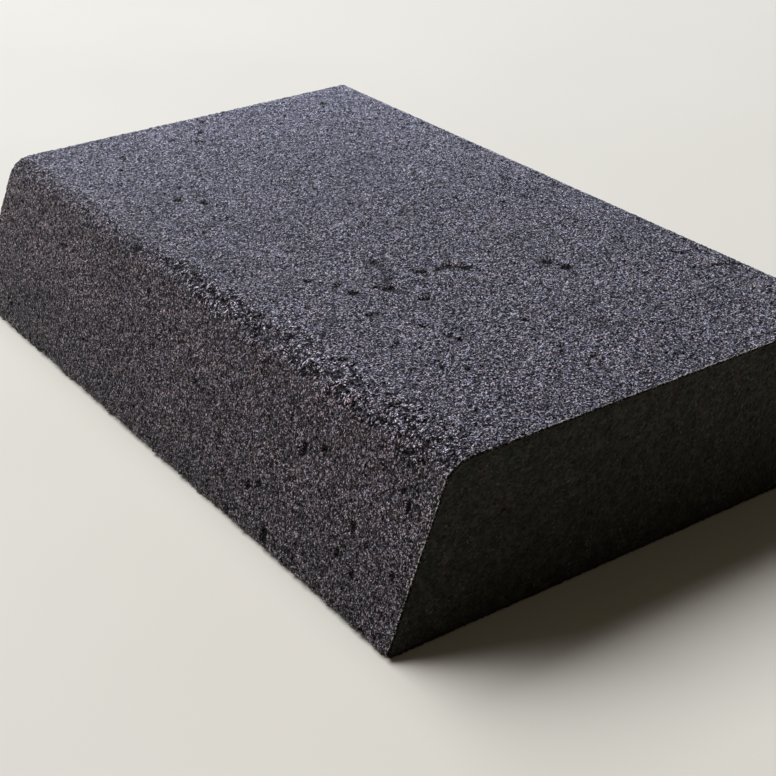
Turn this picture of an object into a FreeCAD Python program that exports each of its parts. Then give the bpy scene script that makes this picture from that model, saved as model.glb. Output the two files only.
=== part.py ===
import FreeCAD, Part
import math
import os

# A hand sanding block: a bar of foam with one sloped long side, coated with abrasive on its four
# long faces and bare at its two cut ends.
#
# X runs along the bar, Y across it and Z up. The sloped side faces -Y, and the origin is the centre
# of the bottom. Each coated face has two layers: a resin film on the foam, the make coat, and a
# layer of grain bonded to it, the grit coat.

# Driving dimensions, in millimetres and degrees.
LENGTH = 127.0
WIDTH = 78.5                # overall, across the bottom
HEIGHT = 24.4
SLOPE_ANGLE = 22.5          # how far the sloped side leans back from upright
ROUNDED_EDGE_RADIUS = 4.3   # the edge between the slope and the top
CRISP_EDGE_RADIUS = 0.8     # the other three long edges
MAKE_COAT = 0.15
GRIT_COAT = 0.45

COATING = MAKE_COAT + GRIT_COAT
CUTTER_REACH = 20.0         # how far the prisms that part the coats reach past the block
PARTS_FOLDER = "parts"


def section_point(y, z):
    """A point of the cross-section, on the cut end at -X."""
    return FreeCAD.Vector(-LENGTH / 2, y, z)


class Corner:
    """One rounded corner of the cross-section, between the faces before and after it."""

    def __init__(self, before, point, after, radius, joint=None):
        towards_before = (before - point).normalize()
        towards_after = (after - point).normalize()
        inward = (towards_before + towards_after).normalize()
        half_angle = towards_before.getAngle(towards_after) / 2
        along_edge = radius / math.tan(half_angle)

        self.radius = radius
        self.centre = point + inward * (radius / math.sin(half_angle))
        self.outward = inward * -1
        self.normal_before = (point + towards_before * along_edge - self.centre).normalize()
        self.normal_after = (point + towards_after * along_edge - self.centre).normalize()
        # The direction, from the arc's centre, of the joint between the coats of the two faces.
        self.joint = joint or self.outward

    def arc_points(self, inset):
        """Where the arc starts, its middle and where it ends, at a depth below the surface."""
        radius = self.radius - inset
        directions = (self.normal_before, self.outward, self.normal_after)
        return [self.centre + direction * radius for direction in directions]


def section_corners():
    """The four corners in order round the section: the bottom's two, then the top's two."""
    lean = math.radians(SLOPE_ANGLE)
    acute_half_angle = (math.pi / 2 - lean) / 2
    # Rounding the acute edge takes this much off the width, so the sharp corner lies further out.
    rounded_off = CRISP_EDGE_RADIUS * (1 / math.tan(acute_half_angle) - 1)
    front = -WIDTH / 2 - rounded_off
    back = WIDTH / 2

    bottom_front = section_point(front, 0)
    bottom_back = section_point(back, 0)
    top_back = section_point(back, HEIGHT)
    top_front = section_point(front + HEIGHT * math.tan(lean), HEIGHT)
    # The slope's coat is carried round the rounded edge, and meets the top's where the top is flat.
    up = FreeCAD.Vector(0, 0, 1)
    return [
        Corner(top_front, bottom_front, bottom_back, CRISP_EDGE_RADIUS),
        Corner(bottom_front, bottom_back, top_back, CRISP_EDGE_RADIUS),
        Corner(bottom_back, top_back, top_front, CRISP_EDGE_RADIUS),
        Corner(top_back, top_front, bottom_front, ROUNDED_EDGE_RADIUS, joint=up),
    ]


CORNERS = section_corners()
# Each coated face runs from its own corner to the next one.
FACES = ["bottom", "back", "top", "slope"]


def along_block(wire):
    """The solid that a closed section makes along the whole length."""
    return Part.Face(wire).extrude(FreeCAD.Vector(LENGTH, 0, 0))


def bar(inset):
    """The block's shape at a depth below its outer surface."""
    arcs = [corner.arc_points(inset) for corner in CORNERS]
    edges = []
    for index, (start, middle, end) in enumerate(arcs):
        next_start = arcs[(index + 1) % len(arcs)][0]
        edges.append(Part.Arc(start, middle, end).toShape())
        edges.append(Part.LineSegment(end, next_start).toShape())
    return along_block(Part.Wire(edges))


def face_prism(index):
    """The prism between a face's two joints, which reaches from inside the foam past the coats."""
    corner = CORNERS[index]
    next_corner = CORNERS[(index + 1) % len(CORNERS)]
    outline = [
        corner.centre,
        corner.centre + corner.joint * CUTTER_REACH,
        next_corner.centre + next_corner.joint * CUTTER_REACH,
        next_corner.centre,
    ]
    return along_block(Part.makePolygon(outline + outline[:1]))


def coat(index, depth, thickness):
    """The layer of one face from a depth below the surface, with its own joints at both edges."""
    shell = bar(depth).cut(bar(depth + thickness))
    layer = shell.common(face_prism(index))
    assert len(layer.Solids) == 1, FACES[index]
    return layer.Solids[0]


def all_parts():
    """Every piece of the block by its name."""
    parts = {"foam_core": bar(COATING)}
    for index, face in enumerate(FACES):
        parts[face + "_make_coat"] = coat(index, GRIT_COAT, MAKE_COAT)
        parts[face + "_grit_coat"] = coat(index, 0, GRIT_COAT)
    return parts


os.makedirs(PARTS_FOLDER, exist_ok=True)
for name, shape in all_parts().items():
    assert shape.isValid(), name
    shape.exportStep(os.path.join(PARTS_FOLDER, name + ".step"))
    box = shape.BoundBox
    print(f"{name}: {shape.Volume:.0f} mm3, {box.XLength:.2f} x {box.YLength:.2f} x {box.ZLength:.2f} mm")
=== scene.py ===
import math

import bpy
import numpy as np
from mathutils import Matrix, Vector


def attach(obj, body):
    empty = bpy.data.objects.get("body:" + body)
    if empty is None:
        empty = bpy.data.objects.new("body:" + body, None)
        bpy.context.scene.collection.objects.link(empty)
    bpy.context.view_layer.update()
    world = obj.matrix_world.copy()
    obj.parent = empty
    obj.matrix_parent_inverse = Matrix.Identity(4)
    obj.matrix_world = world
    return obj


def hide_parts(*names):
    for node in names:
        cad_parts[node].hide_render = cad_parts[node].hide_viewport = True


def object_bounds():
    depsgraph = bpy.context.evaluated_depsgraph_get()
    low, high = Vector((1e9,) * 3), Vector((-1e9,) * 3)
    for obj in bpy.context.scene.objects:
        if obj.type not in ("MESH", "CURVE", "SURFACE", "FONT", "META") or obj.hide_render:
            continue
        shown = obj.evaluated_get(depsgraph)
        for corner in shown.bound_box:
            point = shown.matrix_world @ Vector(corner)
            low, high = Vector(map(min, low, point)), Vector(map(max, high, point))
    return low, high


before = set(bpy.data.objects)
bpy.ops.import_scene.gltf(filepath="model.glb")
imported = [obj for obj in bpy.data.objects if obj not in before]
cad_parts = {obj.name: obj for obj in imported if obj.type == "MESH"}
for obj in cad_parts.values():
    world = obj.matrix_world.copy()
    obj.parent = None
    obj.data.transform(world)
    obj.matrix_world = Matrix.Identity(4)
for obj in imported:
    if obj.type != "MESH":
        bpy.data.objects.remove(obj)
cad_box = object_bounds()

# A foam sanding block with one sloped long side. Each of its four long faces has a resin film, the
# make coat, and a layer of abrasive grain on it, the grit coat. Its two ends are bare cut foam.
#
# Lengths are in millimetres until a mesh, a lamp or the camera is made, which are in metres.
MM = 0.001

# The section, as the CAD model has it.
SLOPE_LEAN = math.radians(22.5)
ROUNDED_EDGE_RADIUS = 4.3
CRISP_EDGE_RADIUS = 0.8
MAKE_COAT = 0.15
GRIT_COAT = 0.45
COATING = MAKE_COAT + GRIT_COAT

CAD_LOW, CAD_HIGH = (corner / MM for corner in cad_box)
LENGTH = CAD_HIGH.x - CAD_LOW.x
WIDTH = CAD_HIGH.y - CAD_LOW.y
HEIGHT = CAD_HIGH.z

# How finely the grain is modelled: the distance between the mesh's points.
COARSER = 1.0
GRAIN_PITCH = 0.292 * COARSER
WIDE_FACE_PITCH = 0.345 * COARSER
FOAM_PITCH = 0.21 * COARSER

# The grain's relief, as depths below the coat's outer surface and heights above it. The skew puts more
# grains high than low. Nothing is as deep as the coat is thick, so the resin below it stays covered.
GRAIN_DEPTH = 0.20
GRAIN_SKEW = 1.4
WAVE_DEPTH = 0.07
LUMP_HEIGHT = 0.20
CREST_HEIGHT = 0.22
SMALL_PIT_DEPTH = 0.34
CREVICE_DEPTH = 0.34
TOE_WEAR = 1.0
DEEPEST = 0.42

# The cut rims: how far the knife wanders, and how much is missing where a grain has broken off.
RIM_WANDER = 0.10
RIM_BREAK = 0.25

# What the materials draw on the grain and the foam: grains, the facets on them, and open cells.
GRAIN_WIDTH = 0.22
FACET_WIDTH = 0.13
FOAM_CELL = 0.55

# The film of size on the grains shines, but only at low angles.
SIZE_FILM = 0.46
SIZE_ROUGHNESS = 0.20
SHINE_START = 0.51
SHINE_FULL = 0.73

NOISE_TABLE = 256
LAMP_DISTANCE = 2200


# ---------------------------------------------------------------------------------------------
# Random relief
# ---------------------------------------------------------------------------------------------
def lattice_noise(x, y, cell_x, cell_y, seed):
    """Smooth random values from 0 to 1, which change over cells of the given size."""
    table = np.random.default_rng(seed).random((NOISE_TABLE, NOISE_TABLE))
    across, along = x / cell_x, y / cell_y
    i, j = np.floor(across).astype(int), np.floor(along).astype(int)
    u, v = across - i, along - j
    u, v = u * u * (3 - 2 * u), v * v * (3 - 2 * v)

    def at(step_i, step_j):
        return table[(i + step_i) % NOISE_TABLE, (j + step_j) % NOISE_TABLE]

    near = at(0, 0) * (1 - u) + at(1, 0) * u
    far = at(0, 1) * (1 - u) + at(1, 1) * u
    return near * (1 - v) + far * v


def cell_noise(x, y, cell_x, cell_y, seed):
    """The distance to the nearest of scattered points, and how much further the next is, in cells."""
    rng = np.random.default_rng(seed)
    offset_x, offset_y = rng.random((2, NOISE_TABLE, NOISE_TABLE))
    across, along = x / cell_x, y / cell_y
    i, j = np.floor(across).astype(int), np.floor(along).astype(int)
    nearest = np.full(np.shape(x), 9.0)
    second = np.full(np.shape(x), 9.0)
    for step_i in (-1, 0, 1):
        for step_j in (-1, 0, 1):
            column, row = (i + step_i) % NOISE_TABLE, (j + step_j) % NOISE_TABLE
            to_x = i + step_i + offset_x[column, row] - across
            to_y = j + step_j + offset_y[column, row] - along
            distance = np.hypot(to_x, to_y)
            second = np.minimum(second, np.maximum(nearest, distance))
            nearest = np.minimum(nearest, distance)
    return nearest, second - nearest


def fade(value, start, end):
    """0 before start and 1 after end, with a smooth change between them."""
    t = np.clip((value - start) / (end - start), 0, 1)
    return t * t * (3 - 2 * t)


# ---------------------------------------------------------------------------------------------
# The section: four faces, and a rounded corner between each two
# ---------------------------------------------------------------------------------------------
class Corner:
    """A rounded corner. Angles are in radians round the section from +Y towards +Z, and the joint is where
    the coat of the face before it meets the coat of the face after it."""

    def __init__(self, centre_y, centre_z, radius, joint):
        self.centre = np.array([centre_y, centre_z])
        self.radius = radius
        self.joint = joint


class Face:
    """One coated face, from its first corner's joint to its last corner's joint."""

    def __init__(self, name, normal, first, last, joint_end=None):
        self.name = name
        self.normal = normal
        self.first = first
        self.last = last
        self.last_joint = last.joint if joint_end is None else joint_end
        self.outward = np.array([math.cos(normal), math.sin(normal)])
        self.onward = np.array([-math.sin(normal), math.cos(normal)])
        self.flat_start = first.centre + self.outward * first.radius
        flat_end = last.centre + self.outward * last.radius
        self.flat_length = float((flat_end - self.flat_start) @ self.onward)
        self.first_arc = first.radius * (normal - first.joint)
        self.last_arc = last.radius * (self.last_joint - normal)
        self.length = self.first_arc + self.flat_length + self.last_arc
        self.start = 0.0

    def outward_at(self, along):
        """Y and Z of the direction out of the surface at these distances along the strip."""
        past_flat = along - self.first_arc - self.flat_length
        first_angle = self.first.joint + along / self.first.radius
        last_angle = self.normal + past_flat / self.last.radius
        angle = np.where(past_flat > 0, last_angle, self.normal)
        angle = np.where(along < self.first_arc, first_angle, angle)
        return np.stack([np.cos(angle), np.sin(angle)], -1)

    def points(self, along, depth):
        """Y and Z of points at these distances along the strip and depths below its surface."""
        on_first = along < self.first_arc
        on_last = along > self.first_arc + self.flat_length
        outward = self.outward_at(along)
        flat = self.flat_start + (along - self.first_arc)[..., None] * self.onward
        first = self.first.centre + outward * self.first.radius
        last = self.last.centre + outward * self.last.radius
        surface = np.where(on_first[..., None], first, np.where(on_last[..., None], last, flat))
        return surface - outward * depth[..., None]


def make_section():
    """The four faces in order round the section, each with where it starts along the whole way round."""
    radius, rounded = CRISP_EDGE_RADIUS, ROUNDED_EDGE_RADIUS
    half = WIDTH / 2
    acute_y = -half + radius
    toe_y = acute_y - radius * (1 + math.sin(SLOPE_LEAN)) / math.cos(SLOPE_LEAN)
    shoulder_z = HEIGHT - rounded
    shoulder_y = toe_y + (rounded + math.sin(SLOPE_LEAN) * shoulder_z) / math.cos(SLOPE_LEAN)
    quarter = math.pi / 2
    slope_normal = math.pi - SLOPE_LEAN
    acute_joint = (slope_normal + 3 * quarter) / 2

    acute_before_bottom = Corner(acute_y, radius, radius, acute_joint - 4 * quarter)
    bottom_back = Corner(half - radius, radius, radius, -quarter / 2)
    top_back = Corner(half - radius, HEIGHT - radius, radius, quarter / 2)
    shoulder = Corner(shoulder_y, shoulder_z, rounded, quarter)
    faces = [
        Face("bottom", -quarter, acute_before_bottom, bottom_back),
        Face("back", 0.0, bottom_back, top_back),
        Face("top", quarter, top_back, shoulder),
        Face("slope", slope_normal, shoulder, acute_before_bottom, joint_end=acute_joint),
    ]
    for before, face in zip(faces, faces[1:]):
        face.start = before.start + before.length
    return {face.name: face for face in faces}


SECTION = make_section()
ROUND_LENGTH = SECTION["slope"].start + SECTION["slope"].length
# Where the top's flat ends and the rounded edge begins, along the way round.
SHOULDER = SECTION["slope"].start


def along_top(y):
    """Where a point of the top at this y lies along the way round."""
    top = SECTION["top"]
    return top.start + top.first_arc + top.flat_start[0] - y


def down_slope(distance):
    """Where a point of the slope lies along the way round, from its distance below the rounded edge."""
    slope = SECTION["slope"]
    return slope.start + slope.first_arc + distance


# ---------------------------------------------------------------------------------------------
# Marks on the grit: pits and gouges
# ---------------------------------------------------------------------------------------------
# Each mark is a groove between two points, (x, way round) each, with its half width and depth.
def top_mark(x, y, to_x, to_y, half_width, depth):
    """A mark on the top, between two points."""
    return (x, along_top(y), to_x, along_top(to_y), half_width, depth)


def slope_pit(x, below, half_width, depth):
    """A pit this far down the slope from the rounded edge, a little longer than it is wide."""
    reach = 0.5 * half_width
    return (x, down_slope(below - reach), x + 0.1, down_slope(below + reach), half_width, depth)


def edge_mark(x, below, to_x, to_below, half_width, depth):
    """A mark on the rounded edge, between two points this far round from the top."""
    return (x, SHOULDER + below, to_x, SHOULDER + to_below, half_width, depth)


def edge_dent(x, below, half_width, depth):
    """A dent in the rounded edge, this far round from the top."""
    return edge_mark(x - 0.4, below - 0.3, x + 0.4, below + 0.3, half_width, depth)


TORN_ROW = [
    top_mark(16.9, -1.1, 17.4, -0.4, 0.80, 0.36),
    top_mark(18.0, 1.9, 17.9, 3.6, 0.65, 0.28),
    top_mark(17.9, 3.6, 19.2, 5.1, 0.80, 0.32),
    top_mark(19.9, 5.4, 20.1, 5.6, 0.95, 0.42),
]
TWO_PITS = [
    top_mark(25.3, 16.2, 25.5, 16.4, 0.95, 0.42),
    top_mark(28.5, 17.2, 28.7, 17.4, 0.95, 0.42),
]
CURVED_SCRATCH = [
    top_mark(9.7, -4.9, 11.7, -4.3, 0.80, 0.22),
    top_mark(11.7, -4.3, 14.6, -5.0, 0.85, 0.23),
    top_mark(14.6, -5.0, 17.6, -6.7, 0.85, 0.23),
    top_mark(19.1, -8.1, 19.6, -7.4, 0.80, 0.38),
]
TOP_PITS = [
    top_mark(17.4, -12.6, 17.6, -12.4, 0.85, 0.40),
    top_mark(10.1, -15.9, 10.3, -15.7, 0.65, 0.34),
    top_mark(13.9, -13.4, 14.1, -13.2, 0.60, 0.28),
    top_mark(24.9, -6.2, 25.4, -5.4, 0.50, 0.32),
    top_mark(38.6, 1.3, 38.8, 1.5, 0.60, 0.40),
    top_mark(25.0, -15.0, 25.3, -14.7, 0.70, 0.24),
    top_mark(32.0, -10.9, 32.2, -10.7, 0.50, 0.30),
    top_mark(-29.2, -15.8, -29.0, -15.6, 0.90, 0.34),
    top_mark(-25.5, -13.1, -25.2, -12.9, 0.80, 0.30),
    top_mark(39.5, 31.0, 42.5, 38.0, 0.35, 0.16),
]
SLOPE_PITS = [
    slope_pit(33.8, 21.2, 0.85, 0.42),
    slope_pit(36.6, 7.5, 0.68, 0.40),
    slope_pit(40.6, 5.8, 0.52, 0.38),
    slope_pit(27.4, 16.9, 0.50, 0.34),
    slope_pit(24.3, 22.5, 0.80, 0.34),
    slope_pit(50.4, 11.9, 0.55, 0.36),
    slope_pit(49.0, 16.2, 0.50, 0.36),
    slope_pit(52.7, 17.2, 0.42, 0.36),
    slope_pit(59.8, 13.9, 0.42, 0.38),
    slope_pit(58.7, 5.0, 0.50, 0.36),
]
EDGE_DENTS = [
    edge_dent(-17.6, 3.2, 0.9, 0.30),
    edge_dent(-9.0, 1.9, 0.8, 0.22),
    edge_dent(-5.7, 1.4, 0.8, 0.25),
    edge_dent(-0.7, 1.2, 0.9, 0.26),
    edge_dent(4.2, 1.7, 0.8, 0.27),
    edge_dent(8.8, 2.1, 0.6, 0.20),
    edge_dent(12.2, 0.9, 0.7, 0.22),
    edge_dent(15.5, 2.1, 0.7, 0.20),
    edge_dent(18.3, 0.3, 0.5, 0.18),
    edge_dent(22.0, 1.2, 0.7, 0.24),
    edge_dent(24.7, 1.7, 0.6, 0.28),
]
EDGE_CRACKS = [
    edge_mark(-7.2, 5.4, -2.8, 2.9, 0.40, 0.14),
    edge_mark(13.5, 2.6, 14.5, 1.9, 0.38, 0.20),
    edge_mark(18.6, 3.7, 20.0, 2.7, 0.38, 0.20),
    edge_mark(22.5, 5.9, 26.8, 4.8, 0.34, 0.20),
    edge_mark(31.2, 4.3, 34.0, 2.7, 0.32, 0.28),
    edge_mark(35.2, 2.1, 37.0, 0.9, 0.32, 0.28),
    edge_mark(43.8, 3.8, 45.0, 3.1, 0.38, 0.26),
    edge_mark(49.0, 3.2, 50.2, 2.0, 0.38, 0.30),
    edge_mark(49.8, 0.7, 50.8, 0.4, 0.30, 0.22),
    edge_mark(55.2, 4.7, 57.8, 3.4, 0.32, 0.26),
    edge_mark(37.5, 3.5, 38.1, 4.6, 0.34, 0.24),
    edge_mark(39.5, -0.3, 39.7, -0.1, 0.42, 0.28),
    edge_mark(57.5, 2.3, 57.7, 2.5, 0.42, 0.30),
]
MARKS = TORN_ROW + TWO_PITS + CURVED_SCRATCH + TOP_PITS + SLOPE_PITS + EDGE_DENTS + EDGE_CRACKS
# Pale crests next to the dents. Their last number is a height.
EDGE_CRESTS = [
    edge_mark(-0.2, 3.3, 4.5, 2.8, 0.70, 0.22),
    edge_mark(11.8, 2.8, 12.8, 2.6, 0.70, 0.22),
    edge_mark(18.0, 4.8, 19.5, 4.1, 0.55, 0.20),
    edge_mark(23.4, 4.3, 25.2, 2.4, 0.75, 0.24),
    edge_mark(30.6, 2.6, 32.6, 1.6, 0.75, 0.20),
    edge_mark(41.5, 3.4, 43.0, 2.6, 0.80, 0.20),
    edge_mark(51.0, 3.8, 53.0, 2.4, 0.90, 0.22),
]


def groove_depth(x, around, mark):
    """How deep a mark is at each point."""
    from_x, from_around, to_x, to_around, half_width, depth = mark
    run_x, run_around = to_x - from_x, to_around - from_around
    run = max(run_x * run_x + run_around * run_around, 1e-9)
    part = np.clip(((x - from_x) * run_x + (around - from_around) * run_around) / run, 0, 1)
    distance = np.hypot(x - from_x - part * run_x, around - from_around - part * run_around)
    ragged = half_width * (0.7 + 0.6 * lattice_noise(x, around, 0.5, 0.5, 41))
    return depth * (1 - fade(distance, 0.5 * ragged, 1.1 * ragged))


def small_pits(x, around):
    """Scattered small holes where a grain is missing or the foam below has a bubble."""
    spacing = 5.2
    nearest, _ = cell_noise(x, around, spacing, spacing, 17)
    size = 0.75 * fade(lattice_noise(x, around, 4.3, 4.3, 23), 0.55, 1.0)
    return SMALL_PIT_DEPTH * (1 - fade(nearest * spacing, 0.4 * size, size + 0.01))


def bunching(x, around):
    """The coat is bunched up and cracked where it bends round the edge. This gives its lumps, the crevices
    between them and how cracked it is, each from 0 to 1. The crevices run at a slant, in broken rows."""
    below = around - SHOULDER
    slant = x + 0.4 * below + 1.5 * (lattice_noise(x, around, 3.0, 3.0, 5) - 0.5)
    down = below + 1.5 * (lattice_noise(x, around, 2.2, 2.2, 6) - 0.5)
    nearest, _ = cell_noise(slant, down, 2.3, 2.5, 7)
    _, coarse = cell_noise(slant, down, 1.6, 3.6, 18)
    lumps = 1 - fade(nearest, 0.1, 0.75)
    dashes = fade(lattice_noise(slant, down, 0.7, 1.1, 19), 0.25, 0.55)
    crevices = 0.65 * (1 - fade(coarse, 0.03, 0.15)) * dashes
    middle = 1.2 + 1.4 * (lattice_noise(x, around * 0, 7.0, 1.0, 9) - 0.5)
    width = 2.4 + 1.4 * lattice_noise(x, around * 0, 5.0, 1.0, 10) + 1.0 * fade(x, 20, 50)
    band = np.exp(-(((below - middle) / width) ** 2))
    patchy = 0.5 + 0.5 * fade(lattice_noise(x, around, 3.6, 2.5, 11), 0.2, 0.55)
    # It is strongest near the +X end.
    strength = band * (0.35 + 0.65 * fade(x, -30, 25))
    broken = fade(strength * patchy, 0.1, 0.75)
    return lumps * strength, crevices * broken, broken


def toe_wear(x, around):
    """The grain is ragged along the foot of the slope: how much of it is missing or stands out there."""
    from_toe = np.minimum(around, ROUND_LENGTH - around)
    ragged = 0.35 * lattice_noise(x, around, 1.1, 1.6, 51) + 0.3 * lattice_noise(x, around, 3.2, 3.0, 52)
    ragged += 0.35 * lattice_noise(x, around, 0.55, 1.0, 53)
    wear = TOE_WEAR * (ragged - 0.4) * np.exp(-((from_toe / 1.4) ** 2))
    # Nothing stands out of the bottom, which is on the table.
    under = (around < ROUND_LENGTH / 2) & (wear < 0)
    return np.where(under, wear * np.exp(-((from_toe / 0.3) ** 2)), wear)


def coat_wave(x, around):
    """The coat isn't quite even: broad shallow hollows, and finer ones within them."""
    broad = lattice_noise(x, around, 9.0, 9.0, 12)
    middling = lattice_noise(x, around, 3.4, 3.4, 13)
    fine = lattice_noise(x, around, 1.2, 1.2, 14)
    return WAVE_DEPTH * (0.35 * broad + 0.3 * middling + 0.35 * fine)


def clumps(x, around):
    """Grains stand in clumps: 0 in the middle of one, and 1 in the gaps between them."""
    nearest, _ = cell_noise(x, around, 0.62, 0.62, 15)
    return fade(nearest, 0.1, 0.75)


def relief(x, around):
    """At each point: how deep the coat's grains lie, how much of that is a hole, how cracked the coat is,
    and how worn its high grains are."""
    lumps, crevices, cracked = bunching(x, around)
    crests = np.zeros_like(x)
    for crest in EDGE_CRESTS:
        crests = np.maximum(crests, groove_depth(x, around, crest))
    holes = np.maximum(CREVICE_DEPTH * crevices, small_pits(x, around))
    for mark in MARKS:
        holes = np.maximum(holes, groove_depth(x, around, mark))
    depth = coat_wave(x, around) + toe_wear(x, around) + holes - LUMP_HEIGHT * lumps - crests
    worn = np.minimum(0.6 * lumps + crests / CREST_HEIGHT, 1)
    return depth, holes, cracked, worn


# ---------------------------------------------------------------------------------------------
# Meshes
# ---------------------------------------------------------------------------------------------
def grid_quads(numbers):
    """The quads of a grid of vertex numbers, as rows of four."""
    corners = [numbers[:-1, :-1], numbers[:-1, 1:], numbers[1:, 1:], numbers[1:, :-1]]
    return np.stack(corners, -1).reshape(-1, 4)


def add_object(name, points, polygons, smooth=False):
    """A mesh object from points in millimetres and lists of vertex numbers."""
    mesh = bpy.data.meshes.new(name)
    mesh.from_pydata((np.asarray(points) * MM).tolist(), [], polygons)
    mesh.validate()
    mesh.polygons.foreach_set("use_smooth", [smooth] * len(mesh.polygons))
    mesh.update()
    piece = bpy.data.objects.new(name, mesh)
    bpy.context.scene.collection.objects.link(piece)
    return piece


def add_values(piece, name, values):
    """A value at each point of a piece, for its material to read."""
    attribute = piece.data.attributes.new(name, "FLOAT", "POINT")
    attribute.data.foreach_set("value", values.astype(np.float32))


def joint_row(corner_number, columns):
    """The grains on a joint, which its two coats share: how far each is shifted along X, and its depth."""
    rng = np.random.default_rng(500 + corner_number)
    return rng.uniform(-0.3, 0.3, columns), rng.random(columns) ** GRAIN_SKEW


def grit_coat(face, number, pitch):
    """A face's layer of grain: a rough outer side, ragged cut rims, flat joints and a plain underside."""
    columns = int(LENGTH / GRAIN_PITCH) + 1
    rows = int(face.length / pitch) + 1
    rng = np.random.default_rng(100 + number)
    step_x, step_s = LENGTH / (columns - 1), face.length / (rows - 1)

    # The outer side: a grid of grains, each shifted by part of a step and set at its own depth.
    shift = 0.38
    shift_x = rng.uniform(-shift, shift, (rows, columns))
    shift_s = rng.uniform(-shift, shift, (rows, columns))
    grain = rng.random((rows, columns)) ** GRAIN_SKEW
    shift_s[[0, -1]] = 0
    shift_x[0], grain[0] = joint_row(number, columns)
    shift_x[-1], grain[-1] = joint_row((number + 1) % 4, columns)
    shift_x[:, [0, -1]] = 0
    x = -LENGTH / 2 + step_x * (np.arange(columns)[None, :] + shift_x)
    along = step_s * (np.arange(rows)[:, None] + shift_s)
    along = np.clip(along, 0, face.length)
    around = (face.start + along) % ROUND_LENGTH
    if face.name == "slope":
        # The way round ends here, on the joint with the first face.
        around[-1] = 0
    unevenness, holes, cracked, worn = relief(x, around)
    gaps = 0.62 * grain + 0.38 * clumps(x, around)
    depth = np.minimum(unevenness + GRAIN_DEPTH * gaps, DEEPEST)
    # The cut breaks grains off the rim.
    rim = rng.uniform(0, RIM_WANDER, (rows, 2)) + RIM_BREAK * (rng.random((rows, 2)) > 0.9)
    x[:, 0] += rim[:, 0]
    x[:, -1] -= rim[:, 1]
    outer = np.concatenate([x[..., None], face.points(along, depth)], -1).reshape(-1, 3)
    outer_numbers = np.arange(rows * columns).reshape(rows, columns)

    # Each cut rim: a row half way down, and one on the resin.
    straight = step_s * np.arange(rows)
    points = [outer]
    rims = []
    for side, column in ((-1, 0), (1, -1)):
        halfway = np.full(rows, GRIT_COAT * 0.55)
        halfway_x = side * (LENGTH / 2 - rng.uniform(0, 0.12, rows))
        bottom_x = np.full(rows, side * LENGTH / 2)
        start = sum(len(block) for block in points)
        middle_numbers = start + np.arange(rows)
        under_numbers = middle_numbers + rows
        for row_x, row_depth in ((halfway_x, halfway), (bottom_x, np.full(rows, GRIT_COAT))):
            points.append(np.column_stack([row_x, face.points(straight, row_depth)]))
        rims.append(np.stack([outer_numbers[:, column], middle_numbers, under_numbers]))
    points = np.concatenate(points)

    low_rim, high_rim = rims
    quads = [
        grid_quads(outer_numbers),
        grid_quads(low_rim),
        grid_quads(high_rim[::-1]),
        grid_quads(np.stack([high_rim[2], low_rim[2]])),
    ]
    polygons = np.concatenate(quads).tolist()
    # The joints with the neighbouring coats are flat.
    for row in (0, -1):
        joint = [*outer_numbers[row], high_rim[1, row], high_rim[2, row], low_rim[2, row], low_rim[1, row]]
        polygons.append([int(vertex) for vertex in (joint if row else joint[::-1])])
    piece = add_object(f"{face.name}_grit", points, polygons)

    # What the material reads at each point: how deep it is in a hole and between the grains, for painted
    # shade, the cut rims, painted pale partly as a painted highlight, where the coat has cracked, and where
    # it is worn paler.
    outer_count = rows * columns
    cut = np.zeros((rows, columns))
    cut[:, [0, -1]] = 1
    point_values = {
        "hollow": (np.clip(holes / DEEPEST, 0, 1), 0.0),
        "gap": (gaps, 0.8),
        "cut": (cut, 0.0),
        "cracked": (cracked, 0.0),
        "worn": (worn, 0.0),
    }
    for name, (on_outer_side, elsewhere) in point_values.items():
        values = np.full(len(points), elsewhere)
        values[:outer_count] = on_outer_side.ravel()
        add_values(piece, name, values)
    # The direction that the coat as a whole faces, which its film of size shines by.
    facing = np.zeros((len(points), 3))
    facing[:outer_count, 1:] = face.outward_at(along).reshape(-1, 2)
    facing[outer_count:, 0] = np.sign(points[outer_count:, 0])
    piece.data.attributes.new("facing", "FLOAT_VECTOR", "POINT").data.foreach_set("vector", facing.ravel())
    return piece


def foam_relief(y, z, side, seed):
    """How far an end's cut surface goes in: open cells, a few bubbles, and the drag of the knife."""
    # The two ends take their cells from different parts of the pattern.
    across = y + 200 * side
    nearest, wall = cell_noise(across, z, 0.62, 0.62, seed + 2)
    fine, _ = cell_noise(across, z, 0.36, 0.36, seed + 3)
    bubbles, _ = cell_noise(across, z, 4.3, 4.3, seed + 4)
    cells = 0.08 * (1 - fade(nearest, 0.1, 0.6)) * fade(wall, 0.05, 0.3) + 0.03 * (1 - fade(fine, 0.1, 0.6))
    cells += 0.18 * (1 - fade(bubbles * 4.3, 0.2, 0.55))
    drag = 0.035 * lattice_noise(y, z, 0.5, 6.0, seed + 5) + 0.06 * lattice_noise(y, z, 7, 5, seed + 6)
    return cells + drag


def once_round(numbers):
    """The outline of a grid of vertex numbers, back to where it starts."""
    sides = [numbers[0], numbers[1:, -1], numbers[-1, -2::-1], numbers[-2:0:-1, 0], numbers[:1, 0]]
    return np.concatenate(sides)


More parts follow.
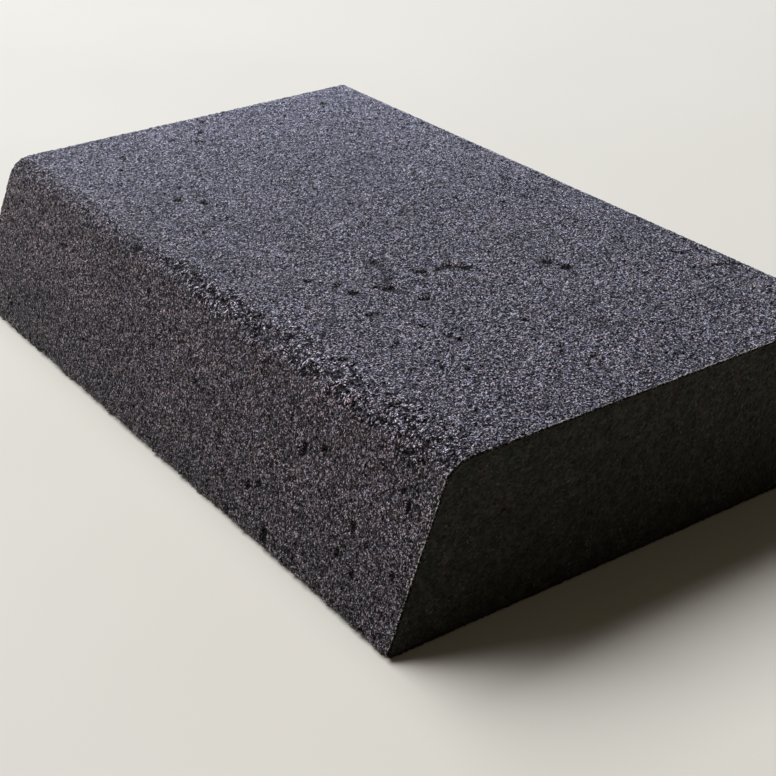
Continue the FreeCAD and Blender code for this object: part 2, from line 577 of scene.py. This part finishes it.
def foam_core():
    """The bar of foam. Its cut ends show the foam's cells, opened by the cut."""
    low, high = COATING, HEIGHT - COATING
    bottom, shoulder = SECTION["slope"].last, SECTION["slope"].first
    toe_radius, rounded = bottom.radius - COATING, shoulder.radius - COATING
    crisp = CRISP_EDGE_RADIUS - COATING
    slope_out = np.array([-math.cos(SLOPE_LEAN), math.sin(SLOPE_LEAN)])
    toe = bottom.centre + slope_out * toe_radius
    brow = shoulder.centre + slope_out * rounded

    def front(z):
        """The sloped side's y at a height, with its two rounded corners."""
        line = toe[0] + (z - toe[1]) * math.tan(SLOPE_LEAN)
        under = np.sqrt(np.maximum(toe_radius**2 - (z - bottom.centre[1]) ** 2, 0))
        over = np.sqrt(np.maximum(rounded**2 - (z - shoulder.centre[1]) ** 2, 0))
        y = np.where(z < toe[1], bottom.centre[0] - under, line)
        return np.where(z > brow[1], shoulder.centre[0] - over, y)

    def back(z):
        """The square side's y at a height, with its two rounded corners."""
        into = np.maximum(low + crisp - z, 0) + np.maximum(z - high + crisp, 0)
        return WIDTH / 2 - COATING - crisp + np.sqrt(np.maximum(crisp**2 - into**2, 0))

    rows = int((high - low) / FOAM_PITCH) + 1
    columns = int((WIDTH - 2 * COATING) / FOAM_PITCH) + 1
    points, ends = [], []
    for seed, side in ((31, -1), (32, 1)):
        rng = np.random.default_rng(seed)
        height = np.linspace(low, high, rows)[:, None] + np.zeros((1, columns))
        part = np.linspace(0, 1, columns)[None, :] + np.zeros((rows, 1))
        inside = (slice(1, -1), slice(1, -1))
        height[inside] += FOAM_PITCH * rng.uniform(-0.35, 0.35, (rows - 2, columns - 2))
        part[inside] += rng.uniform(-0.35, 0.35, (rows - 2, columns - 2)) / columns
        y = front(height) + (back(height) - front(height)) * part
        depth = np.zeros((rows, columns))
        depth[inside] = (foam_relief(y, height, side, seed) + 0.03 * rng.random((rows, columns)))[inside]
        points.append(np.stack([side * (LENGTH / 2 - depth), y, height], -1).reshape(-1, 3))
        ends.append(np.arange(rows * columns).reshape(rows, columns) + len(ends) * rows * columns)
    low_end, high_end = ends
    quads = [
        grid_quads(low_end[:, ::-1]),
        grid_quads(high_end),
        grid_quads(np.stack([once_round(high_end), once_round(low_end)])),
    ]
    return add_object("foam_bar", np.concatenate(points), np.concatenate(quads).tolist())


# ---------------------------------------------------------------------------------------------
# Materials
# ---------------------------------------------------------------------------------------------
class Nodes:
    """A new material's node tree, with short ways to add nodes to it."""

    def __init__(self, name):
        self.material = bpy.data.materials.new(name)
        self.material.use_nodes = True
        self.tree = self.material.node_tree
        self.shader = self.tree.nodes["Principled BSDF"]
        self.place = self.add("ShaderNodeTexCoord").outputs["Object"]

    def add(self, kind, inputs=(), **settings):
        """A node with these settings and inputs, each a value or another node's output."""
        node = self.tree.nodes.new(kind)
        for key, value in settings.items():
            setattr(node, key, value)
        for key, value in dict(inputs).items():
            self.feed(node.inputs[key], value)
        return node

    def feed(self, socket, value):
        if isinstance(value, bpy.types.NodeSocket):
            self.tree.links.new(value, socket)
        else:
            socket.default_value = value

    def finish(self, **inputs):
        """Feeds the shader's inputs, by name with _ for a space, and gives the material."""
        for key, value in inputs.items():
            self.feed(self.shader.inputs[key.replace("_", " ")], value)
        return self.material

    def noise(self, cell_mm, detail=2.0, roughness=0.5):
        """Smooth noise from 0 to 1 whose features are about this wide."""
        inputs = {"Vector": self.place, "Scale": 1 / (cell_mm * MM), "Detail": detail}
        return self.add("ShaderNodeTexNoise", {**inputs, "Roughness": roughness}).outputs["Fac"]

    def cells(self, cell_mm, feature="F1", place=None):
        """A pattern of random cells about this wide."""
        inputs = {"Vector": place or self.place, "Scale": 1 / (cell_mm * MM), "Randomness": 1.0}
        return self.add("ShaderNodeTexVoronoi", inputs, feature=feature)

    def remap(self, value, low, high, to_low=0.0, to_high=1.0):
        """value from low to high, as to_low to to_high, and no further."""
        inputs = {"Value": value, "From Min": low, "From Max": high, "To Min": to_low, "To Max": to_high}
        return self.add("ShaderNodeMapRange", inputs).outputs["Result"]

    def plus(self, first, second):
        return self.add("ShaderNodeMath", {0: first, 1: second}, operation="ADD").outputs[0]

    def times(self, first, second):
        return self.add("ShaderNodeMath", {0: first, 1: second}, operation="MULTIPLY").outputs[0]

    def larger(self, first, second):
        return self.add("ShaderNodeMath", {0: first, 1: second}, operation="MAXIMUM").outputs[0]

    def up(self, vector):
        """The Z of a vector."""
        return self.add("ShaderNodeSeparateXYZ", {"Vector": vector}).outputs["Z"]

    def painted(self, name, output="Fac"):
        """What the mesh's points hold under this name."""
        return self.add("ShaderNodeAttribute", attribute_name=name).outputs[output]

    def mix(self, amount, first, second, blend="MIX"):
        """Two colours mixed, or the first multiplied by the second, by this amount."""
        node = self.add("ShaderNodeMix", data_type="RGBA", blend_type=blend)
        for index, value in ((0, amount), (6, first), (7, second)):
            self.feed(node.inputs[index], value)
        return node.outputs[2]

    def tint(self, colour, amount):
        """A colour made lighter or darker by an amount, where 1 leaves it as it is."""
        grey = self.add("ShaderNodeCombineColor", {0: amount, 1: amount, 2: amount}).outputs[0]
        return self.mix(1.0, colour, grey, "MULTIPLY")

    def ramp(self, value, stops):
        """A colour from a value, by stops of (value, colour)."""
        node = self.add("ShaderNodeValToRGB", {"Fac": value})
        elements = node.color_ramp.elements
        while len(elements) < len(stops):
            elements.new(0.5)
        for element, (position, colour) in zip(elements, stops):
            element.position = position
            element.color = (*colour, 1)
        return node.outputs["Color"]

    def bump(self, height, depth_mm, strength):
        """The normal of a surface with this height, in parts of the depth."""
        inputs = {"Height": height, "Distance": depth_mm * MM, "Strength": strength}
        return self.add("ShaderNodeBump", inputs).outputs["Normal"]

    def random_of(self, cells, channel):
        """One random value from 0 to 1 for each cell."""
        return self.add("ShaderNodeSeparateColor", {"Color": cells.outputs["Color"]}).outputs[channel]


def grain_colour(nodes, tone, side_shade):
    """The grain's colour: dark violet-brown with paler facets, in patches a little warmer or cooler, and
    darker on the sides that don't face up, which is painted shade."""
    colour = nodes.ramp(tone, [
        (0.28, (0.0017, 0.0012, 0.0015)),
        (0.47, (0.0155, 0.0110, 0.0140)),
        (0.60, (0.0800, 0.0600, 0.0730)),
        (0.71, (0.2600, 0.2100, 0.2450)),
        (0.85, (0.8500, 0.7400, 0.8200)),
    ])
    patches = nodes.remap(nodes.noise(1.6, 2.0), 0.35, 0.65, 0.0, 1.0)
    hue = nodes.mix(patches, (1.06, 0.96, 0.94, 1), (0.95, 0.98, 1.08, 1))
    colour = nodes.mix(1.0, colour, hue, "MULTIPLY")
    colour = nodes.tint(colour, nodes.remap(nodes.noise(11.0, 3.0), 0.35, 0.7, 0.86, 1.12))
    # Painted shade: darker where the coat doesn't face up.
    colour = nodes.mix(side_shade, colour, (0.84, 0.785, 0.785, 1), "MULTIPLY")
    # Painted shade: the grain is darker towards the foot of the block, near the table.
    colour = nodes.tint(colour, nodes.remap(nodes.up(nodes.place), 0.0, 15 * MM, 0.66, 1.0))
    return nodes.tint(colour, nodes.remap(nodes.painted("worn"), 0.0, 1.0, 1.0, 1.3))


def edge_cracks(nodes, cracked):
    """Fine cracks across the rounded edge, at a slant and in broken lines, as 1 in a crack."""
    turn = {"Vector": nodes.place, "Angle": 0.35}
    slanted = nodes.add("ShaderNodeVectorRotate", turn, rotation_type="Z_AXIS").outputs[0]
    squeeze = {0: slanted, 1: (1.0, 0.42, 0.42)}
    squeezed = nodes.add("ShaderNodeVectorMath", squeeze, operation="MULTIPLY").outputs[0]
    lines = nodes.cells(0.62, "DISTANCE_TO_EDGE", squeezed).outputs["Distance"]
    dashes = nodes.remap(nodes.noise(0.7, 2.0), 0.39, 0.50, 0.0, 1.0)
    crack = nodes.times(nodes.remap(lines, 0.05, 0.20, 1.0, 0.0), dashes)
    return nodes.times(crack, nodes.remap(cracked, 0.05, 0.7, 0.0, 0.97))


def film_shine(nodes, facing, tone):
    """How much the film of size shines: only at low angles to the coat, and more on pale grains."""
    glance = nodes.add("ShaderNodeLayerWeight", {"Blend": 0.5, "Normal": facing}).outputs["Facing"]
    shine = nodes.remap(glance, SHINE_START, SHINE_FULL, 0.0, SIZE_FILM)
    return nodes.times(shine, nodes.remap(tone, 0.3, 0.7, 0.65, 1.35))


def grit_material():
    """Dark grain in dark resin: dull and bright facets, with the gaps between the grains painted black as
    painted shade.
    """
    nodes = Nodes("grit")
    grains = nodes.cells(GRAIN_WIDTH)
    facets = nodes.cells(FACET_WIDTH)
    grain_tone = nodes.random_of(grains, 0)
    tone = nodes.plus(nodes.times(grain_tone, 0.5), nodes.times(nodes.random_of(facets, 1), 0.5))

    # Painted shade: the grain is painted darker where the coat doesn't face up.
    facing = nodes.painted("facing", "Vector")
    side_shade = nodes.remap(nodes.up(facing), 0.45, 0.95, 1.0, 0.0)
    colour = grain_colour(nodes, tone, side_shade)

    # Gaps between grains and holes are painted black, as painted shade, but on the cracked edge the gaps
    # are rubbed full and painted less dark.
    cracked = nodes.painted("cracked")
    gap = nodes.times(nodes.painted("gap"), nodes.remap(cracked, 0.0, 1.0, 1.0, 0.35))
    colour = nodes.mix(nodes.remap(gap, 0.35, 0.90, 0.0, 0.90), colour, (0.0035, 0.0030, 0.0032, 1))
    hollow = nodes.painted("hollow")
    colour = nodes.mix(nodes.remap(hollow, 0.15, 0.85, 0.0, 0.96), colour, (0.0035, 0.0032, 0.0030, 1))
    colour = nodes.tint(colour, nodes.remap(cracked, 0.0, 1.0, 1.0, 1.38))
    # The fine cracks on the edge are painted near-black, as painted shade in them.
    crack = edge_cracks(nodes, cracked)
    colour = nodes.mix(crack, colour, (0.0030, 0.0028, 0.0028, 1))

    # Grains on the cut rims are painted pale, partly as broken grain and partly as a painted highlight
    # where they catch light.
    broken = nodes.ramp(grain_tone, [(0.33, (0.010, 0.009, 0.008)), (0.68, (0.60, 0.56, 0.48))])
    colour = nodes.mix(nodes.remap(nodes.painted("cut"), 0.2, 0.8, 0.0, 0.85), colour, broken)

    # Gaps, holes and cracks don't shine, and dark grain has pitted facets, which glint less.
    dull = nodes.larger(nodes.remap(gap, 0.4, 0.8), nodes.remap(hollow, 0.1, 0.6))
    dull = nodes.larger(dull, crack)
    dark_glint = nodes.remap(side_shade, 0.0, 1.0, 0.04, 0.13)
    glint = nodes.remap(tone, 0.36, 0.64, dark_glint, 0.50)
    to_world = {"vector_type": "NORMAL", "convert_from": "OBJECT", "convert_to": "WORLD"}
    facing = nodes.add("ShaderNodeVectorTransform", {"Vector": facing}, **to_world).outputs["Vector"]
    shine = film_shine(nodes, facing, tone)
    domes = nodes.remap(grains.outputs["Distance"], 0.0, 0.8, 1.0, 0.0)
    humps = nodes.remap(facets.outputs["Distance"], 0.0, 0.8, 0.5, 0.0)
    return nodes.finish(
        Coat_Weight=nodes.times(shine, nodes.remap(dull, 0.0, 1.0, 1.0, 0.0)),
        Coat_Roughness=SIZE_ROUGHNESS,
        Coat_Normal=facing,
        Base_Color=colour,
        Roughness=nodes.remap(nodes.random_of(grains, 2), 0.0, 1.0, 0.30, 0.70),
        Specular_IOR_Level=nodes.times(glint, nodes.remap(dull, 0.0, 1.0, 1.0, 0.2)),
        Normal=nodes.bump(nodes.plus(domes, humps), 0.16, 1.0),
    )


def foam_material():
    """Dark cut foam: uneven soft bumps and open cells, with thin walls that catch a little light."""
    nodes = Nodes("cut_foam")
    pores = nodes.cells(FOAM_CELL)
    walls = nodes.cells(FOAM_CELL, "DISTANCE_TO_EDGE")
    specks = nodes.cells(0.30)
    warmth = nodes.remap(nodes.noise(3.2, 3.0), 0.4, 0.6, 0.0, 1.0)
    body = nodes.mix(warmth, (0.0165, 0.0176, 0.0122, 1), (0.0225, 0.0180, 0.0130, 1))
    body = nodes.tint(body, nodes.remap(nodes.noise(1.5, 4.0, 0.65), 0.32, 0.68, 0.55, 1.50))
    body = nodes.tint(body, nodes.remap(nodes.noise(0.65, 1.0), 0.35, 0.65, 0.50, 1.60))
    # It is painted a little paler towards the top, as painted light.
    body = nodes.tint(body, nodes.remap(nodes.up(nodes.place), 12 * MM, HEIGHT * MM, 1.0, 1.42))
    # Painted shade darkens the open cells, and a painted highlight makes their thin walls paler.
    pore = nodes.remap(pores.outputs["Distance"], 0.1, 0.55, 0.75, 0.0)
    uneven = nodes.remap(nodes.noise(1.1, 2.0), 0.42, 0.60, 0.0, 1.0)
    body = nodes.mix(nodes.times(pore, uneven), body, (0.0035, 0.0033, 0.0026, 1))
    wall = nodes.remap(walls.outputs["Distance"], 0.0, 0.14, 0.45, 0.0)
    body = nodes.mix(nodes.times(wall, uneven), body, (0.040, 0.038, 0.030, 1))
    clusters = nodes.remap(nodes.noise(2.4, 2.0), 0.45, 0.60, 0.05, 1.0)
    speck = nodes.remap(nodes.random_of(specks, 0), 0.84, 0.97, 0.0, 0.9)
    colour = nodes.mix(nodes.times(speck, clusters), body, (0.085, 0.080, 0.066, 1))
    height = nodes.plus(nodes.remap(pores.outputs["Distance"], 0.0, 0.6, 0.0, 1.0), nodes.noise(0.45, 2.0))
    return nodes.finish(
        Base_Color=colour,
        Roughness=0.8,
        Specular_IOR_Level=0.3,
        Normal=nodes.bump(height, 0.14, 0.9),
    )


def resin_material():
    """The thin resin film that shows as a line between the grain and the foam."""
    nodes = Nodes("resin_film")
    tone = nodes.remap(nodes.noise(0.6, 3.0), 0.3, 0.7, 0.6, 1.5)
    colour = nodes.tint((0.0095, 0.0065, 0.0060, 1), tone)
    return nodes.finish(
        Base_Color=colour,
        Specular_IOR_Level=0.2,
        Roughness=nodes.remap(nodes.noise(0.9), 0.3, 0.7, 0.45, 0.75),
        Normal=nodes.bump(nodes.noise(0.2, 3.0), 0.05, 0.6),
    )


def floor_material():
    """A plain pale matt table top."""
    nodes = Nodes("pale_floor")
    shade = nodes.remap(nodes.noise(60.0, 2.0), 0.3, 0.7, 0.0, 1.0)
    colour = nodes.mix(shade, (0.755, 0.665, 0.580, 1), (0.775, 0.685, 0.600, 1))
    return nodes.finish(Base_Color=colour, Roughness=0.7, Specular_IOR_Level=0.3)


# ---------------------------------------------------------------------------------------------
# The block
# ---------------------------------------------------------------------------------------------
def dress(piece, material, node):
    """Gives a piece its material, hides the CAD node that it stands for, and puts it in its body."""
    piece.data.materials.clear()
    piece.data.materials.append(material)
    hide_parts(node)
    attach(piece, "root")


def make_block():
    grit, foam, resin = grit_material(), foam_material(), resin_material()
    for number, face in enumerate(SECTION.values()):
        pitch = WIDE_FACE_PITCH if face.name == "bottom" else GRAIN_PITCH
        dress(grit_coat(face, number, pitch), grit, f"{face.name}_grit_coat")
        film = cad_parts[f"{face.name}_make_coat"]
        film.data.materials.clear()
        film.data.materials.append(resin)
    core = foam_core()
    dress(core, foam, "foam_core")


# ---------------------------------------------------------------------------------------------
# The stage
# ---------------------------------------------------------------------------------------------
def make_floor():
    reach = 3000.0
    corners = [(-reach, -reach, 0), (reach, -reach, 0), (reach, reach, 0), (-reach, reach, 0)]
    floor = add_object("floor", corners, [[0, 1, 2, 3]])
    floor.data.materials.append(floor_material())


def add_window(name, azimuth, elevation, width, height, watts, colour):
    """A soft area lamp that faces the block. The azimuth is the side it stands on, from +X towards +Y."""
    lamp = bpy.data.lights.new(name, "AREA")
    lamp.shape = "RECTANGLE"
    lamp.size, lamp.size_y = width * MM, height * MM
    lamp.energy = watts
    lamp.color = colour
    a, e = math.radians(azimuth), math.radians(elevation)
    away = Vector((math.cos(a) * math.cos(e), math.sin(a) * math.cos(e), math.sin(e)))
    holder = bpy.data.objects.new(name, lamp)
    holder.location = away * LAMP_DISTANCE * MM
    holder.rotation_mode = "QUATERNION"
    holder.rotation_quaternion = away.to_track_quat("Z", "Y")
    bpy.context.scene.collection.objects.link(holder)


def make_light():
    sky, far_sky, shade = (0.91, 1.00, 1.06), (0.87, 0.94, 1.35), (0.30, 0.90, 1.20)
    add_window("window", azimuth=189, elevation=51.5, width=2400, height=1260, watts=73, colour=sky)
    add_window("far_window", azimuth=152, elevation=13, width=1400, height=300, watts=6.0, colour=far_sky)
    add_window("side_window", azimuth=120, elevation=11, width=1200, height=400, watts=1.5, colour=shade)
    world = bpy.data.worlds.new("room")
    world.use_nodes = True
    background = world.node_tree.nodes["Background"]
    background.inputs["Color"].default_value = (1.0, 0.92, 0.70, 1)
    background.inputs["Strength"].default_value = 0.06
    bpy.context.scene.world = world
    bpy.context.scene.view_settings.view_transform = "Standard"


def make_camera():
    """A short telephoto near the block's end, turned so that the sloped side is on the left."""
    place = Vector((192.63, -125.89, 120.97))
    azimuth, elevation, roll = math.radians(55.84), math.radians(28.28), math.radians(-1.07)
    back = Vector((
        math.sin(azimuth) * math.cos(elevation),
        -math.cos(azimuth) * math.cos(elevation),
        math.sin(elevation),
    ))
    lens = bpy.data.cameras.new("camera")
    lens.sensor_width = 36
    lens.lens = 75.08
    lens.clip_start = 0.02
    lens.clip_end = 20
    camera = bpy.data.objects.new("camera", lens)
    level = (-back).to_track_quat("-Z", "Y").to_matrix().to_4x4()
    camera.matrix_world = Matrix.Translation(place * MM) @ level @ Matrix.Rotation(roll, 4, "Z")
    bpy.context.scene.collection.objects.link(camera)
    bpy.context.scene.camera = camera


make_block()
make_floor()
make_light()
make_camera()
